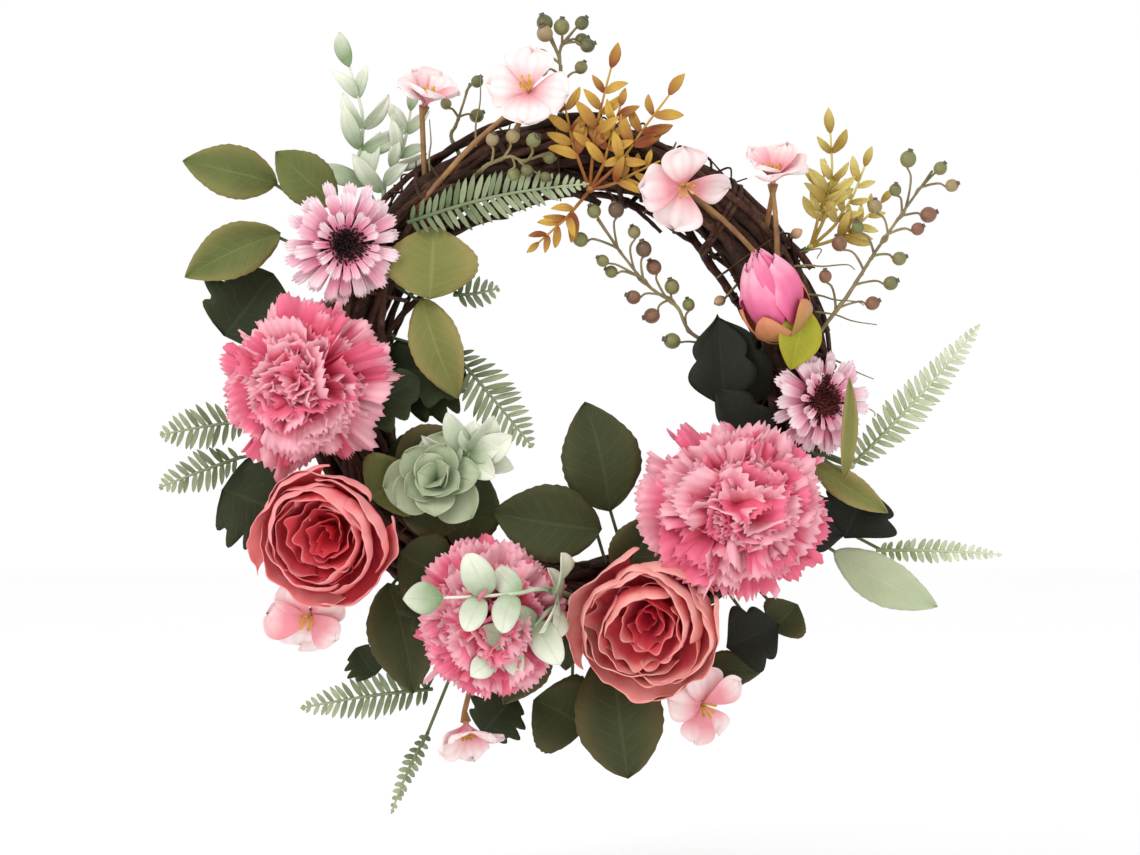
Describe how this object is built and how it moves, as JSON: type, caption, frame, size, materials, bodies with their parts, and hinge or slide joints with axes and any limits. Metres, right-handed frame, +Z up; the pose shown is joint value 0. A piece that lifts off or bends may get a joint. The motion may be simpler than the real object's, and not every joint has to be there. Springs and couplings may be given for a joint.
{
  "type": "flower wreath",
  "caption": "Round vine-cane wreath dressed with fabric carnations, roses, daisies, blossoms, leaves, ferns and berry sprays, hung from a hook at its top.",
  "frame": {"origin": "the point where a hook or nail carries the wreath: the inside of the cane bundle at the top of the ring, in the ring's middle plane", "axes": "+Z up, -Y towards the viewer (the flowers face -Y), +X to the viewer's right, +Y towards the wall"},
  "size_m": [0.4042, 0.1135, 0.3822],
  "materials": {
    "vine": "rough bark",
    "tie_wire": "dull lacquer",
    "stem": "moulded",
    "petal_pink": "woven polyester",
    "petal_coral": "woven polyester",
    "petal_blush": "woven polyester",
    "seed_head": "flocked",
    "leaf_olive": "printed cloth",
    "leaf_dark": "printed cloth",
    "leaf_sage": "moulded",
    "fern": "moulded",
    "berry": "moulded",
    "gold_leaf": "moulded"
  },
  "bodies": {
    "wreath": {"berries_ring_fruit": "berry", "berries_ring_stems": "stem", "blossom_bottom_petals": "petal_blush", "blossom_lower_left_petals": "petal_blush", "blossom_lower_right_petals": "petal_blush", "blossom_right_petals": "petal_blush", "blossom_stems": "stem", "blossom_top_left_petals": "petal_blush", "blossom_top_petals": "petal_blush", "blossom_upper_right_petals": "petal_blush", "carnation_bottom_petals": "petal_pink", "carnation_bottom_stem": "stem", "carnation_left_petals": "petal_pink", "carnation_left_stem": "stem", "carnation_right_petals": "petal_pink", "carnation_right_stem": "stem", "daisy_left_disc": "seed_head", "daisy_left_rays": "petal_blush", "daisy_left_stem": "stem", "daisy_right_disc": "seed_head", "daisy_right_rays": "petal_blush", "daisy_right_stem": "stem", "dark_leaves_left": "leaf_dark", "dark_leaves_right": "leaf_dark", "eucalyptus_bottom": "leaf_sage", "eucalyptus_centre": "leaf_sage", "eucalyptus_top": "leaf_sage", "fern_bottom": "fern", "fern_tip_right": "fern", "fern_top": "fern", "ferns_inner": "fern", "ferns_left": "fern", "gold_spray_top": "gold_leaf", "leaf_wires": "stem", "leaves_bottom": "leaf_olive", "leaves_centre": "leaf_olive", "leaves_inner_left": "leaf_olive", "leaves_lower_left": "leaf_olive", "leaves_right": "leaf_olive", "leaves_upper_left": "leaf_olive", "rose_left_petals": "petal_coral", "rose_left_stem": "stem", "rose_right_petals": "petal_coral", "rose_right_stem": "stem", "rosebud_petals": "petal_pink", "rosebud_stem": "stem", "spray_roots": "stem", "vine_back_canes": "vine", "vine_core_cane": "vine", "vine_front_canes": "vine", "vine_wraps": "vine", "wire_ties": "tie_wire"},
    "berries_top": {"berries_top_stems": "stem", "berries_top_fruit": "berry"},
    "berries_inner": {"berries_inner_stems": "stem", "berries_inner_fruit": "berry"},
    "berries_right": {"berries_right_stems": "stem", "berries_right_fruit": "berry"},
    "gold_spray_right": {"gold_spray_right": "gold_leaf"},
    "fern_right": {"fern_right": "fern"}
  },
  "joints": [
    {"name": "berries_top_bend", "type": "hinge", "parent": "wreath", "child": "berries_top", "pos_m": [-0.00454, -0.008, 0.04242], "axis": [1, 0, 0], "range_deg": [-30, 5]},
    {"name": "berries_inner_bend", "type": "hinge", "parent": "wreath", "child": "berries_inner", "pos_m": [0.08, -0.01, -0.07483], "axis": [0.4695, 0, 0.8829], "range_deg": [-5, 25]},
    {"name": "berries_right_bend", "type": "hinge", "parent": "wreath", "child": "berries_right", "pos_m": [0.11116, -0.026, -0.07385], "axis": [0.8192, 0, -0.5736], "range_deg": [-8, 35]},
    {"name": "gold_spray_right_bend", "type": "hinge", "parent": "wreath", "child": "gold_spray_right", "pos_m": [0.11545, -0.004, -0.02351], "axis": [0.9511, 0, -0.309], "range_deg": [-8, 35]},
    {"name": "fern_right_bend", "type": "hinge", "parent": "wreath", "child": "fern_right", "pos_m": [0.13477, -0.00805, -0.12824], "axis": [0.7431, 0, -0.6691], "range_deg": [-8, 35]}
  ]
}
